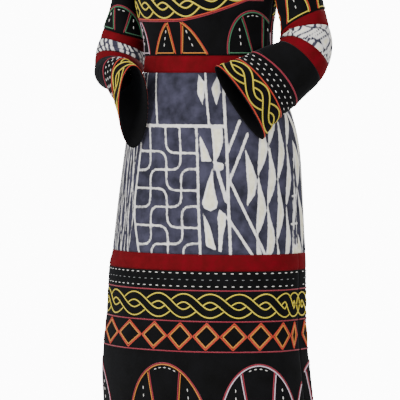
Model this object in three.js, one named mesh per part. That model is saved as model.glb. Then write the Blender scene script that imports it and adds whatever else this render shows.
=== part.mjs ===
// A long-sleeved ndop dress, filled out as it is worn: velvet bodice, sleeves and hem border,
// indigo ndop skirt and elbow panels, red cotton bands between them.
// Millimetres, +Z up. The dress faces -Y, and +X is the wearer's left.
// The origin lies on the body's axis, at the height of the shoulder seam's neck end.
import * as THREE from "three";

// ---------------------------------------------------------------- driving sizes
const WALL = 2;                 // cloth with its seam allowances
const SEAM_GAP = 0.3;           // between two pieces sewn together, twice that between sleeve pieces
const FRONT_COLUMNS = 24;       // facets round each front panel
const BACK_COLUMNS = 28;        // and round each back panel, which has more folds
const YOKE_ROWS = 3;            // facets from the neck down to the armhole
const RIB_ROWS = 5;             // and from the armhole down to the waist
const SLEEVE_FACETS = 20;       // facets round a sleeve, and so round its armhole
const FINE = 1e-3;              // step for measuring a surface's direction
const BODICE_RADIUS = 150;      // rounded sizes that turn a gap into an angle or a part of a row
const SKIRT_RADIUS = 200;
const ARMHOLE_ROW = 70;

// Heights of the seams that run round the dress
const WAIST_TOP = -390;
const WAIST_BOTTOM = -432;
const SKIRT_BOTTOM = -875;
const BAND_BOTTOM = -916;
const HEM = -1375;

// Sections of the body, from the neck down. Each is an ellipse in plan whose front and back
// halves have their own depths; its height may differ at the front, the sides and the back.
const NECK_TO_WAIST = [
  { front: -95, side: 0, back: -25, halfWidth: 92, frontDepth: 76, backDepth: 70, sway: 0 },
  { front: -104, side: -22, back: -50, halfWidth: 135, frontDepth: 86, backDepth: 86, sway: 0 },
  { front: -118, side: -52, back: -85, halfWidth: 178, frontDepth: 98, backDepth: 98, sway: 0 },
  { front: -150, side: -120, back: -140, halfWidth: 192, frontDepth: 122, backDepth: 112, sway: 0 },
  { front: -205, side: -200, back: -200, halfWidth: 190, frontDepth: 152, backDepth: 116, sway: 0 },
  { front: -265, side: -265, back: -265, halfWidth: 184, frontDepth: 168, backDepth: 114, sway: 0 },
  { front: -330, side: -330, back: -330, halfWidth: 172, frontDepth: 150, backDepth: 118, sway: 2 },
  { front: WAIST_TOP, side: WAIST_TOP, back: WAIST_TOP, halfWidth: 169, frontDepth: 136, backDepth: 116, sway: 3 },
];
const WAIST_TO_HEM = [
  { z: WAIST_TOP, halfWidth: 169, frontDepth: 136, backDepth: 116, sway: 3 },
  { z: WAIST_BOTTOM, halfWidth: 174, frontDepth: 140, backDepth: 120, sway: 4 },
  { z: -480, halfWidth: 193, frontDepth: 150, backDepth: 130, sway: 6 },
  { z: -535, halfWidth: 216, frontDepth: 158, backDepth: 146, sway: 8 },
  { z: -622, halfWidth: 232, frontDepth: 170, backDepth: 166, sway: 11 },
  { z: -750, halfWidth: 245, frontDepth: 179, backDepth: 175, sway: 6 },
  { z: SKIRT_BOTTOM, halfWidth: 256, frontDepth: 185, backDepth: 180, sway: 1 },
  { z: BAND_BOTTOM, halfWidth: 261, frontDepth: 188, backDepth: 180, sway: -3 },
  { z: -1022, halfWidth: 262, frontDepth: 190, backDepth: 180, sway: -6 },
  { z: -1107, halfWidth: 268, frontDepth: 193, backDepth: 184, sway: -9 },
  { z: -1180, halfWidth: 274, frontDepth: 195, backDepth: 186, sway: -7 },
  { z: -1270, halfWidth: 276, frontDepth: 197, backDepth: 188, sway: 0 },
  { z: HEM, halfWidth: 281, frontDepth: 200, backDepth: 190, sway: 0 },
];

// Soft flutes of the skirt: where they stand round it (0 front, 90 the wearer's left, 180 back),
// their half-width in degrees, how far they stand out at the hem, and where they start.
const FLUTES = [
  { at: -64, halfWidth: 11, depth: 5, top: -640 },
  { at: -98, halfWidth: 12, depth: 9, top: -560 },
  { at: -131, halfWidth: 12, depth: 13, top: -500 },
  { at: -163, halfWidth: 12, depth: 11, top: -470 },
  { at: 166, halfWidth: 12, depth: 12, top: -480 },
  { at: 134, halfWidth: 12, depth: 13, top: -500 },
  { at: 103, halfWidth: 11, depth: 10, top: -560 },
  { at: 68, halfWidth: 11, depth: 5, top: -620 },
  { at: 18, halfWidth: 16, depth: 3, top: -900 },
  { at: -26, halfWidth: 16, depth: 3, top: -900 },
];
// Creases of the bodice, which are troughs, where the cloth draws in above the waist.
const CREASES = [
  { at: -70, halfWidth: 14, depth: -5, z: -345, halfHeight: 60 },
  { at: 72, halfWidth: 14, depth: -5, z: -340, halfHeight: 65 },
  { at: 150, halfWidth: 16, depth: -6, z: -340, halfHeight: 75 },
  { at: -148, halfWidth: 16, depth: -6, z: -335, halfHeight: 75 },
];

// The armhole: a loop in the body's own angle and section number, centred on the side.
const ARMHOLE = { middle: 3.05, halfHeight: 1.05, halfAngle: 36 };

// Sleeve sections, from the shoulder to the mouth. A section lies at x (outwards), y, z, with
// half-sizes outwards and to the front. splay leans it outwards, bend swings it forward at the
// elbow and turn swings it inwards, in degrees. Piece says what the stretch above it belongs to.
const LEFT_SLEEVE = [
  { piece: "upper", x: 204, y: -2, z: -144, outer: 73, front: 72, splay: 81, bend: 0, turn: 0 },
  { piece: "upper", x: 222, y: 3, z: -168, outer: 70, front: 67, splay: 66, bend: 0, turn: 0 },
  { piece: "upper", x: 236, y: 9, z: -198, outer: 63, front: 62, splay: 50, bend: 0, turn: 0 },
  { piece: "upper", x: 244, y: 16, z: -233, outer: 60, front: 59, splay: 36, bend: 2, turn: 0 },
  { piece: "upper", x: 248, y: 22, z: -266, outer: 60, front: 58, splay: 30, bend: 4, turn: 0 },
  { piece: "upper", x: 253, y: 27, z: -300, outer: 60, front: 59, splay: 28, bend: 8, turn: 0 },
  { piece: "bandUpper", x: 259, y: 29, z: -333, outer: 61, front: 61, splay: 23, bend: 16, turn: 6 },
  { piece: "ndop", x: 263, y: 28, z: -357, outer: 65, front: 65, splay: 12, bend: 28, turn: 14 },
  { piece: "ndop", x: 262, y: 19, z: -383, outer: 67, front: 69, splay: 0, bend: 40, turn: 24 },
  { piece: "bandLower", x: 256, y: 1, z: -407, outer: 66, front: 72, splay: 1, bend: 48, turn: 34 },
  { piece: "lower", x: 246, y: -20, z: -421, outer: 60, front: 76, splay: 0, bend: 52, turn: 38 },
  { piece: "lower", x: 236, y: -41, z: -433, outer: 54, front: 80, splay: 0, bend: 54, turn: 41 },
  { piece: "lower", x: 226, y: -61, z: -445, outer: 49, front: 84, splay: 0, bend: 55, turn: 42 },
  { piece: "cuff", x: 217, y: -88, z: -458, outer: 45, front: 86, splay: 0, bend: 56, turn: 41 },
  { piece: "cuff", x: 208, y: -116, z: -471, outer: 42, front: 90, splay: 0, bend: 56, turn: 38 },
  { piece: "cuff", x: 197, y: -143, z: -487, outer: 39, front: 99, splay: 0, bend: 55, turn: 33 },
  { piece: "cuff", x: 185, y: -170, z: -505, outer: 37, front: 111, splay: 0, bend: 53, turn: 27 },
];
const RIGHT_SLEEVE = [
  { piece: "upper", x: 204, y: -2, z: -144, outer: 73, front: 72, splay: 81, bend: 0, turn: 0 },
  { piece: "upper", x: 220, y: 5, z: -170, outer: 69, front: 68, splay: 68, bend: 0, turn: 0 },
  { piece: "upper", x: 229, y: 15, z: -201, outer: 60, front: 67, splay: 54, bend: 0, turn: 0 },
  { piece: "upper", x: 234, y: 23, z: -236, outer: 51, front: 67, splay: 36, bend: 0, turn: 0 },
  { piece: "upper", x: 241, y: 25, z: -280, outer: 50, front: 66, splay: 22, bend: 2, turn: 0 },
  { piece: "upper", x: 250, y: 18, z: -336, outer: 60, front: 62, splay: 14, bend: 6, turn: 0 },
  { piece: "bandUpper", x: 257, y: 13, z: -365, outer: 61, front: 62, splay: 14, bend: 14, turn: 4 },
  { piece: "ndop", x: 259, y: 9, z: -385, outer: 65, front: 63, splay: 11, bend: 22, turn: 6 },
  { piece: "ndop", x: 257, y: -3, z: -407, outer: 65, front: 62, splay: 5, bend: 32, turn: 9 },
  { piece: "bandLower", x: 247, y: -26, z: -430, outer: 61, front: 60, splay: 0, bend: 44, turn: 14 },
  { piece: "lower", x: 240, y: -50, z: -436, outer: 55, front: 54, splay: 0, bend: 54, turn: 19 },
  { piece: "lower", x: 228, y: -75, z: -437, outer: 48, front: 49, splay: 0, bend: 62, turn: 23 },
  { piece: "lower", x: 210, y: -99, z: -437, outer: 42, front: 47, splay: 0, bend: 68, turn: 26 },
  { piece: "lower", x: 187, y: -121, z: -443, outer: 37, front: 52, splay: 0, bend: 72, turn: 29 },
  { piece: "cuff", x: 161, y: -142, z: -457, outer: 34, front: 62, splay: 0, bend: 76, turn: 31 },
  { piece: "cuff", x: 134, y: -161, z: -484, outer: 33, front: 80, splay: 0, bend: 79, turn: 33 },
  { piece: "cuff", x: 108, y: -181, z: -516, outer: 36, front: 103, splay: 0, bend: 80, turn: 33 },
];

const VELVET = { color: 0x0d0d0f, roughness: 0.85 };
const RED_COTTON = { color: 0xa01620, roughness: 0.8 };
const NDOP = { color: 0x3e4263, roughness: 0.9 };

// ---------------------------------------------------------------- small helpers
const radians = THREE.MathUtils.degToRad;
const lerp = THREE.MathUtils.lerp;
const bump = (offset, halfWidth) => Math.exp(-0.5 * (offset / (0.5 * halfWidth)) ** 2);
const ramp = (value, start, end) => THREE.MathUtils.smoothstep(value, start, end);

// A smooth value through a table's column, at a row number that may lie between two rows.
function column(table, name, place) {
  const last = table.length - 1;
  const row = Math.min(Math.max(Math.floor(place), 0), last - 1);
  const t = place - row;
  const at = (i) => table[Math.min(Math.max(i, 0), last)][name];
  const slopeIn = row > 0 ? (at(row + 1) - at(row - 1)) / 2 : at(1) - at(0);
  const slopeOut = row < last - 1 ? (at(row + 2) - at(row)) / 2 : at(last) - at(last - 1);
  const rise = t * t * (3 - 2 * t);
  return lerp(at(row), at(row + 1), rise) + slopeIn * t * (1 - t) ** 2 - slopeOut * t * t * (1 - t);
}

// The row number at which a table's z column, which falls all the way, reaches a height.
function rowAtHeight(table, z) {
  let low = 0;
  let high = table.length - 1;
  for (let i = 0; i < 40; i += 1) {
    const middle = (low + high) / 2;
    if (column(table, "z", middle) > z) low = middle;
    else high = middle;
  }
  return (low + high) / 2;
}

// ---------------------------------------------------------------- the body's surface
function foldAt(angle, z) {
  let out = 0;
  for (const fold of FLUTES) {
    const turn = ((angle - fold.at + 540) % 360) - 180;
    out += fold.depth * bump(turn, fold.halfWidth) * ramp(-z, -fold.top, -HEM);
  }
  for (const crease of CREASES) {
    const turn = ((angle - crease.at + 540) % 360) - 180;
    out += crease.depth * bump(turn, crease.halfWidth) * bump(z - crease.z, crease.halfHeight);
  }
  return out;
}

function ringPoint(angle, section) {
  const turn = radians(angle);
  const front = Math.cos(turn) > 0;
  const depth = front ? section.frontDepth : section.backDepth;
  const centreHeight = front ? section.front : section.back;
  const z = lerp(section.side, centreHeight, Math.cos(turn) ** 2);
  const out = foldAt(angle, z);
  return new THREE.Vector3(
    section.sway + (section.halfWidth + out) * Math.sin(turn),
    -(depth + out) * Math.cos(turn),
    z,
  );
}

function bodicePoint(angle, place) {
  const section = {};
  for (const name of Object.keys(NECK_TO_WAIST[0])) section[name] = column(NECK_TO_WAIST, name, place);
  return ringPoint(angle, section);
}

function skirtPoint(angle, z) {
  const place = rowAtHeight(WAIST_TO_HEM, z);
  const section = { front: z, side: z, back: z };
  for (const name of ["halfWidth", "frontDepth", "backDepth", "sway"]) {
    section[name] = column(WAIST_TO_HEM, name, place);
  }
  return ringPoint(angle, section);
}

// Outward direction of a surface at (u, v), from two short steps across it.
function outward(surface, u, v) {
  const alongU = surface(u + FINE, v).sub(surface(u - FINE, v));
  const alongV = surface(u, v + FINE).sub(surface(u, v - FINE));
  return alongU.cross(alongV).normalize();
}

// ---------------------------------------------------------------- closed cloth shells
// Rows of points outside and inside, joined by rims into one closed wall of cloth.
function clothShell(outer, inner, wrapsRound) {
  const rows = outer.length;
  const columns = outer[0].length;
  const vertices = [];
  for (const layer of [outer, inner]) {
    for (const row of layer) {
      for (const point of row) vertices.push(point.x, point.y, point.z);
    }
  }
  const at = (layer, row, col) => (layer * rows + row) * columns + (col % columns);
  const triangles = [];
  const quad = (a, b, c, d) => triangles.push(a, b, c, a, c, d);
  const spans = wrapsRound ? columns : columns - 1;
  for (let row = 0; row < rows - 1; row += 1) {
    for (let col = 0; col < spans; col += 1) {
      quad(at(0, row, col), at(0, row + 1, col), at(0, row + 1, col + 1), at(0, row, col + 1));
      quad(at(1, row, col), at(1, row, col + 1), at(1, row + 1, col + 1), at(1, row + 1, col));
    }
    if (!wrapsRound) {
      const end = columns - 1;
      quad(at(0, row, 0), at(1, row, 0), at(1, row + 1, 0), at(0, row + 1, 0));
      quad(at(0, row, end), at(0, row + 1, end), at(1, row + 1, end), at(1, row, end));
    }
  }
  for (let col = 0; col < spans; col += 1) {
    const end = rows - 1;
    quad(at(0, 0, col), at(0, 0, col + 1), at(1, 0, col + 1), at(1, 0, col));
    quad(at(0, end, col), at(1, end, col), at(1, end, col + 1), at(0, end, col + 1));
  }
  const shell = new THREE.BufferGeometry();
  shell.setAttribute("position", new THREE.Float32BufferAttribute(vertices, 3));
  shell.setIndex(triangles);
  shell.computeVertexNormals();
  return shell;
}

// A panel: rows go down, columns go round from the wearer's right to left as seen on the front.
function panel(surface, places, anglesAt) {
  const outer = [];
  const inner = [];
  for (const place of places) {
    const angles = anglesAt(place);
    outer.push(angles.map((angle) => surface(angle, place)));
    inner.push(angles.map((angle) => {
      const point = surface(angle, place);
      return point.addScaledVector(bodyOutward(surface, angle, place), -WALL);
    }));
  }
  return clothShell(outer, inner, false);
}

// Both body surfaces run down as place grows on the bodice and as z falls on the skirt.
function bodyOutward(surface, angle, place) {
  const direction = outward(surface, angle, place);
  const turn = radians(angle);
  const away = direction.x * Math.sin(turn) - direction.y * Math.cos(turn);
  return away < 0 ? direction.negate() : direction;
}

function evenly(start, end, steps) {
  return Array.from({ length: steps + 1 }, (_, i) => lerp(start, end, i / steps));
}

// Half the seam gap, as an angle round a ring of about this radius.
const gapAngle = (radius) => THREE.MathUtils.radToDeg(0.5 * SEAM_GAP / radius);

// Front panels span -90 to 90 degrees and back panels 90 to 270, each short of the side seam.
function halfAngles(isFront, reach, radius) {
  const columns = isFront ? FRONT_COLUMNS : BACK_COLUMNS;
  const middle = isFront ? 0 : 180;
  const end = reach - gapAngle(radius);
  return evenly(-end, end, columns).map((angle) => middle + angle);
}

// How far round, from the centre line, a bodice panel reaches at a place: less at the armhole.
function bodiceReach(place) {
  const rise = (place - ARMHOLE.middle) / ARMHOLE.halfHeight;
  if (Math.abs(rise) >= 1) return 90;
  return 90 - ARMHOLE.halfAngle * Math.sqrt(1 - rise * rise);
}

// Section numbers down the bodice, closer together where the armhole needs its own points.
function bodicePlaces() {
  const top = ARMHOLE.middle - ARMHOLE.halfHeight;
  const bottom = ARMHOLE.middle + ARMHOLE.halfHeight;
  const last = NECK_TO_WAIST.length - 1;
  const lastHeight = NECK_TO_WAIST[last - 1].side - NECK_TO_WAIST[last].side;
  const end = last - 0.5 * SEAM_GAP / lastHeight;
  const loop = evenly(0, Math.PI, SLEEVE_FACETS / 2)
    .map((w) => ARMHOLE.middle - ARMHOLE.halfHeight * Math.cos(w));
  return [
    ...evenly(0, top, YOKE_ROWS).slice(0, -1),
    ...loop,
    ...evenly(bottom, end, RIB_ROWS).slice(1),
  ];
}

function bodicePanel(isFront) {
  return panel(bodicePoint, bodicePlaces(), (place) => halfAngles(isFront, bodiceReach(place), BODICE_RADIUS));
}

// A tier of the skirt between two seams; only the hem itself isn't sewn to a neighbour.
function tierPanel(isFront, tier) {
  const top = tier.top - 0.5 * SEAM_GAP;
  const bottom = tier.bottom === HEM ? HEM : tier.bottom + 0.5 * SEAM_GAP;
  return panel(skirtPoint, evenly(top, bottom, tier.rows), () => halfAngles(isFront, 90, SKIRT_RADIUS));
}

// ---------------------------------------------------------------- the sleeves
// A point of a sleeve: around is 0 at the underarm, a quarter turn at the front and a half turn
// at the shoulder; place 0 is the armhole and place n the table's section n.
function sleevePoint(sleeve, around, place) {
  if (place >= 1) return sleeveSectionPoint(sleeve, around, place - 1);
  return armholePoint(sleeve.side, around).lerp(sleeveSectionPoint(sleeve, around, 0), place);
}

function armholePoint(side, around) {
  const halfHeight = ARMHOLE.halfHeight - SEAM_GAP / ARMHOLE_ROW;
  const halfAngle = ARMHOLE.halfAngle - 2 * gapAngle(BODICE_RADIUS);
  const angle = 90 - halfAngle * Math.sin(around);
  return bodicePoint(side * angle, ARMHOLE.middle + halfHeight * Math.cos(around));
}

function sleeveSectionPoint(sleeve, around, place) {
  const section = {};
  for (const name of ["x", "y", "z", "outer", "front", "splay", "bend", "turn"]) {
    section[name] = column(sleeve.sections, name, place);
  }
  const acrossDirection = new THREE.Vector3(1, 0, 0);
  const frontDirection = new THREE.Vector3(0, -1, 0);
  const pose = new THREE.Euler(0, 0, 0);
  for (const [axis, degrees] of [["y", -section.splay], ["x", -section.bend], ["z", -section.turn]]) {
    pose.set(0, 0, 0);
    pose[axis] = radians(degrees);
    acrossDirection.applyEuler(pose);
    frontDirection.applyEuler(pose);
  }
  const point = new THREE.Vector3(section.x, section.y, section.z)
    .addScaledVector(acrossDirection, -section.outer * Math.cos(around))
    .addScaledVector(frontDirection, section.front * Math.sin(around));
  point.x *= sleeve.side;
  return point;
}

// One piece of a sleeve, a tube between two of its places.
function sleeveTube(sleeve, start, end) {
  const middle = new THREE.Vector3();
  const outer = [];
  const inner = [];
  const places = [start];
  for (let place = Math.floor(start) + 1; place < end - 0.1; place += 1) places.push(place);
  places.push(end);
  for (const place of places) {
    const surface = (around, at) => sleevePoint(sleeve, around, at);
    const angles = evenly(0, 2 * Math.PI, SLEEVE_FACETS).slice(0, -1);
    const ring = angles.map((around) => surface(around, place));
    middle.set(0, 0, 0);
    for (const point of ring) middle.addScaledVector(point, 1 / ring.length);
    const lining = ring.map((point, i) => {
      const direction = outward(surface, angles[i], place);
      if (direction.dot(point.clone().sub(middle)) < 0) direction.negate();
      return point.clone().addScaledVector(direction, -WALL);
    });
    if (sleeve.side < 0) {
      ring.reverse();
      lining.reverse();
    }
    outer.push(ring);
    inner.push(lining);
  }
  return clothShell(outer, inner, true);
}

// Where each piece of a sleeve starts and ends, short of each seam by the gap.
function sleevePieces(sleeve) {
  const pieces = [];
  sleeve.sections.forEach((section, i) => {
    const current = pieces.at(-1);
    if (current?.name === section.piece) current.end = i + 1;
    else pieces.push({ name: section.piece, start: current ? current.end : 0, end: i + 1 });
  });
  const rowLength = (place) => {
    const row = Math.min(Math.max(Math.round(place) - 1, 0), sleeve.sections.length - 2);
    const [a, b] = [sleeve.sections[row], sleeve.sections[row + 1]];
    return Math.hypot(a.x - b.x, a.y - b.y, a.z - b.z);
  };
  return pieces.map((piece, i) => ({
    name: piece.name,
    start: i === 0 ? 0 : piece.start + SEAM_GAP / rowLength(piece.start),
    end: i === pieces.length - 1 ? piece.end : piece.end - SEAM_GAP / rowLength(piece.end - 1),
  }));
}

// ---------------------------------------------------------------- the dress
const TIERS = [
  { name: "waist_band", top: WAIST_TOP, bottom: WAIST_BOTTOM, rows: 1, cloth: RED_COTTON },
  { name: "skirt", top: WAIST_BOTTOM, bottom: SKIRT_BOTTOM, rows: 7, cloth: NDOP },
  { name: "lower_band", top: SKIRT_BOTTOM, bottom: BAND_BOTTOM, rows: 1, cloth: RED_COTTON },
  { name: "hem_border", top: BAND_BOTTOM, bottom: HEM, rows: 6, cloth: VELVET },
];
const SLEEVES = [
  { name: "left", side: 1, sections: LEFT_SLEEVE },
  { name: "right", side: -1, sections: RIGHT_SLEEVE },
];
const SLEEVE_PIECES = {
  upper: { node: "upper_sleeve", cloth: VELVET },
  bandUpper: { node: "sleeve_band_upper", cloth: RED_COTTON },
  ndop: { node: "sleeve_ndop", cloth: NDOP },
  bandLower: { node: "sleeve_band_lower", cloth: RED_COTTON },
  lower: { node: "lower_sleeve", cloth: VELVET },
  cuff: { node: "cuff", cloth: VELVET },
};

const dress = new THREE.Group();
dress.name = "ndop_dress";

function add(name, geometry, cloth) {
  const mesh = new THREE.Mesh(geometry, new THREE.MeshStandardMaterial({ ...cloth, metalness: 0 }));
  mesh.name = name;
  dress.add(mesh);
}

for (const isFront of [true, false]) {
  const half = isFront ? "front" : "back";
  add(`bodice_${half}`, bodicePanel(isFront), VELVET);
  for (const tier of TIERS) add(`${tier.name}_${half}`, tierPanel(isFront, tier), tier.cloth);
}
for (const sleeve of SLEEVES) {
  for (const piece of sleevePieces(sleeve)) {
    const { node, cloth } = SLEEVE_PIECES[piece.name];
    add(`${node}_${sleeve.name}`, sleeveTube(sleeve, piece.start, piece.end), cloth);
  }
}

export default dress;
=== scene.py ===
# %% [markdown]
# # An ndop dress, filled out as it is worn
# The frame holds the dress as twenty-two stiff cloth shells. This lesson dresses them: each shell is
# replaced by a finer sheet with its seams, creases and nap, and the embroidery is laid on top.

# %% Load the frame
import bpy
import numpy as np
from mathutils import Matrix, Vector


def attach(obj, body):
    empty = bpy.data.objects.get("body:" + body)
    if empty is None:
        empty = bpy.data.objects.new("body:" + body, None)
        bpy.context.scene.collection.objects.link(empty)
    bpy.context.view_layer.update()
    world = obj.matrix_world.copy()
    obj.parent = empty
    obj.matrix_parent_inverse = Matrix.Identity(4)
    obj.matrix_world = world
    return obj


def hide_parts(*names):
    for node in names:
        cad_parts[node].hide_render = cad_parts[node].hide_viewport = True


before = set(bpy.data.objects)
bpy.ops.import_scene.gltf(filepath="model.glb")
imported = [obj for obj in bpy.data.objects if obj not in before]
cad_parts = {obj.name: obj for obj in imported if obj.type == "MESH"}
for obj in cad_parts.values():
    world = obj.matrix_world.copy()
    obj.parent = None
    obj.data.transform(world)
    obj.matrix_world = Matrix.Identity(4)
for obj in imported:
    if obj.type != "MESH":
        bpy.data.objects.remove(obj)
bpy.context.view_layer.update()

# %% [markdown]
# ## Sizes
# A dressmaker works in millimetres, so this script does too, and turns them to metres only when a
# mesh is made. The dress faces -Y, +X is the wearer's left, and its height is counted down from
# the shoulder seams' neck end.

# %% Driving sizes, mm
WALL = 1.6            # thickness of the cloth that shows
WAIST_TOP = -390
WAIST_BOTTOM = -432
SKIRT_BOTTOM = -875
BAND_BOTTOM = -916
HEM = -1375
CLOTH_STEP = 4.5      # spacing of the points on a sheet
SKIRT_HALF = 370      # half a skirt panel's greatest width, for its count of points
BODICE_HALF = 250
SLEEVE_POINTS = 96    # points round a sleeve
STITCH_STEP = 2.4     # half a chain stitch
YARN_HEIGHT = 1.5     # how far a stitched line stands out of the cloth


def rows_of(names, rows):
    """A table as one array for each column name."""
    return dict(zip(names.split(), np.array(rows, float).T))


# Sections of the bodice from the neck down: height at front, side and back, half-width, depths.
NECK_TO_WAIST = rows_of("front side back half_width front_depth back_depth sway", [
    (-95, 0, -25, 92, 76, 70, 0), (-104, -22, -50, 135, 86, 86, 0),
    (-118, -52, -85, 178, 98, 98, 0), (-150, -120, -140, 192, 122, 112, 0),
    (-205, -200, -200, 190, 152, 116, 0), (-265, -265, -265, 184, 168, 114, 0),
    (-330, -330, -330, 172, 150, 118, 2), (WAIST_TOP, WAIST_TOP, WAIST_TOP, 169, 136, 116, 3)])
# Sections from the waist to the hem.
WAIST_TO_HEM = rows_of("z half_width front_depth back_depth sway", [
    (WAIST_TOP, 169, 136, 116, 3), (WAIST_BOTTOM, 174, 140, 120, 4), (-480, 193, 150, 130, 6),
    (-535, 216, 158, 146, 8), (-622, 232, 170, 166, 11), (-750, 245, 179, 175, 6),
    (SKIRT_BOTTOM, 256, 185, 180, 1), (BAND_BOTTOM, 261, 188, 180, -3), (-1022, 262, 190, 180, -6),
    (-1107, 268, 193, 184, -9), (-1180, 274, 195, 186, -7), (-1270, 276, 197, 188, 0),
    (HEM, 281, 200, 190, 0)])
# Soft flutes of the skirt: degrees round it, half-width in degrees, depth at the hem, top.
FLUTES = rows_of("at half_width depth top", [
    (-64, 11, 5, -640), (-98, 12, 9, -560), (-131, 12, 13, -500), (-163, 12, 11, -470),
    (166, 12, 12, -480), (134, 12, 13, -500), (103, 11, 10, -560), (68, 11, 5, -620),
    (18, 16, 3, -900), (-26, 16, 3, -900)])
# Where the bodice draws in above the waist: degrees, half-width, depth, height, half-height.
CREASES = rows_of("at half_width depth z half_height", [
    (-70, 14, -5, -345, 60), (72, 14, -5, -340, 65), (150, 16, -6, -340, 75),
    (-148, 16, -6, -335, 75)])
# The armhole, a loop in section number and angle, centred on the side.
ARMHOLE = {"middle": 3.05, "half_height": 1.05, "half_angle": 36}
# Sleeve sections: centre, half-sizes outwards and to the front, and three turns in degrees.
SLEEVE_COLUMNS = "x y z outer front splay bend turn"
LEFT_SLEEVE = rows_of(SLEEVE_COLUMNS, [
    (204, -2, -144, 73, 72, 81, 0, 0), (222, 3, -168, 70, 67, 66, 0, 0),
    (236, 9, -198, 63, 62, 50, 0, 0), (244, 16, -233, 60, 59, 36, 2, 0),
    (248, 22, -266, 60, 58, 30, 4, 0), (253, 27, -300, 60, 59, 28, 8, 0),
    (259, 29, -333, 61, 61, 23, 16, 6), (263, 28, -357, 65, 65, 12, 28, 14),
    (262, 19, -383, 67, 69, 0, 40, 24), (256, 1, -407, 66, 72, 1, 48, 34),
    (246, -20, -421, 60, 76, 0, 52, 38), (236, -41, -433, 54, 80, 0, 54, 41),
    (226, -61, -445, 49, 84, 0, 55, 42), (217, -88, -458, 45, 86, 0, 56, 41),
    (208, -116, -471, 42, 90, 0, 56, 38), (197, -143, -487, 39, 99, 0, 55, 33),
    (185, -170, -505, 37, 111, 0, 53, 27)])
RIGHT_SLEEVE = rows_of(SLEEVE_COLUMNS, [
    (204, -2, -144, 73, 72, 81, 0, 0), (220, 5, -170, 69, 68, 68, 0, 0),
    (229, 15, -201, 60, 67, 54, 0, 0), (234, 23, -236, 51, 67, 36, 0, 0),
    (241, 25, -280, 50, 66, 22, 2, 0), (250, 18, -336, 60, 62, 14, 6, 0),
    (257, 13, -365, 61, 62, 14, 14, 4), (259, 9, -385, 65, 63, 11, 22, 6),
    (257, -3, -407, 65, 62, 5, 32, 9), (247, -26, -430, 61, 60, 0, 44, 14),
    (240, -50, -436, 55, 54, 0, 54, 19), (228, -75, -437, 48, 49, 0, 62, 23),
    (210, -99, -437, 42, 47, 0, 68, 26), (187, -121, -443, 37, 52, 0, 72, 29),
    (161, -142, -457, 34, 62, 0, 76, 31), (134, -161, -484, 33, 80, 0, 79, 33),
    (108, -181, -516, 36, 103, 0, 80, 33)])
print("sections:", len(NECK_TO_WAIST["side"]), "+", len(WAIST_TO_HEM["z"]), "body,",
      len(LEFT_SLEEVE["x"]), "a sleeve")

# %% [markdown]
# ## The body's surface
# A filled-out dress is a stack of rings. Each ring is two half ellipses, one for the front and one
# for the back, and the sizes slide smoothly from ring to ring. One function gives the point at any
# angle and height, so sheets, seams and embroidery all agree.


# %% The rings as a function of angle and place
def column(table, name, place):
    """Hermite curve through a table's column: each row's slope is half the step between its
    neighbours, and the end rows' slopes follow their one neighbour."""
    value = table[name]
    padded = np.concatenate([[2 * value[0] - value[1]], value, [2 * value[-1] - value[-2]]])
    row = np.clip(np.floor(place).astype(int), 0, len(value) - 2)
    t = place - row
    start, end = padded[row + 1], padded[row + 2]
    slope_in, slope_out = (end - padded[row]) / 2, (padded[row + 3] - start) / 2
    rise = t * t * (3 - 2 * t)
    return (start + (end - start) * rise
            + slope_in * t * (1 - t) ** 2 - slope_out * t * t * (1 - t))


def bump(offset, half_width):
    """A bell: 1 at the middle and an eighth at the half-width."""
    return np.exp(-0.5 * (offset / (0.5 * half_width)) ** 2)


def smooth(value, start, end):
    """0 before start, 1 after end, and an S curve between them."""
    t = np.clip((value - start) / (end - start), 0, 1)
    return t * t * (3 - 2 * t)


def turned(angle, middle):
    """The signed difference of two angles, in degrees, the short way round."""
    return (angle - middle + 540) % 360 - 180


def fold(angle, z):
    """How far the cloth stands out: the sum of the skirt's flutes, which grow towards the hem,
    and the bodice's creases, which fade above and below their height."""
    out = 0
    for at, half_width, depth, top in zip(*FLUTES.values()):
        out = out + depth * bump(turned(angle, at), half_width) * smooth(-z, -top, -HEM)
    for at, half_width, depth, middle, half_height in zip(*CREASES.values()):
        out = out + depth * bump(turned(angle, at), half_width) * bump(z - middle, half_height)
    return out


def ring_point(angle, section):
    """x is the half-width times the sine of the angle, y the depth times its cosine, and the
    height slides from the side's to the front's or back's with the cosine squared."""
    turn = np.radians(angle)
    front = np.cos(turn) > 0
    depth = np.where(front, section["front_depth"], section["back_depth"])
    height = np.where(front, section["front"], section["back"])
    z = section["side"] + (height - section["side"]) * np.cos(turn) ** 2
    out = fold(angle, z)
    x = section["sway"] + (section["half_width"] + out) * np.sin(turn)
    return np.stack(np.broadcast_arrays(x, -(depth + out) * np.cos(turn), z), -1)


def bodice_at(angle, place):
    """The bodice at an angle and a row number of its table."""
    angle, place = np.broadcast_arrays(angle, place)
    return ring_point(angle, {name: column(NECK_TO_WAIST, name, place) for name in NECK_TO_WAIST})


SKIRT_PLACES = np.linspace(0, len(WAIST_TO_HEM["z"]) - 1, 2401)
SKIRT_HEIGHTS = column(WAIST_TO_HEM, "z", SKIRT_PLACES)


def skirt_at(angle, z):
    """The skirt at an angle and a height, whose row number is looked up first."""
    angle, z = np.broadcast_arrays(angle, np.asarray(z, float))
    place = np.interp(-z, -SKIRT_HEIGHTS, SKIRT_PLACES)
    section = {name: column(WAIST_TO_HEM, name, place) for name in list(WAIST_TO_HEM)[1:]}
    section.update(front=z, side=z, back=z)
    return ring_point(angle, section)


# %% [markdown]
# ## The sleeves' surface
# A sleeve is a tube whose sections turn as the arm bends. Its first ring is the armhole itself, so
# the cap grows out of the body. Counted from the underarm, a quarter turn faces the front and a
# half turn the outside.


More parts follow.
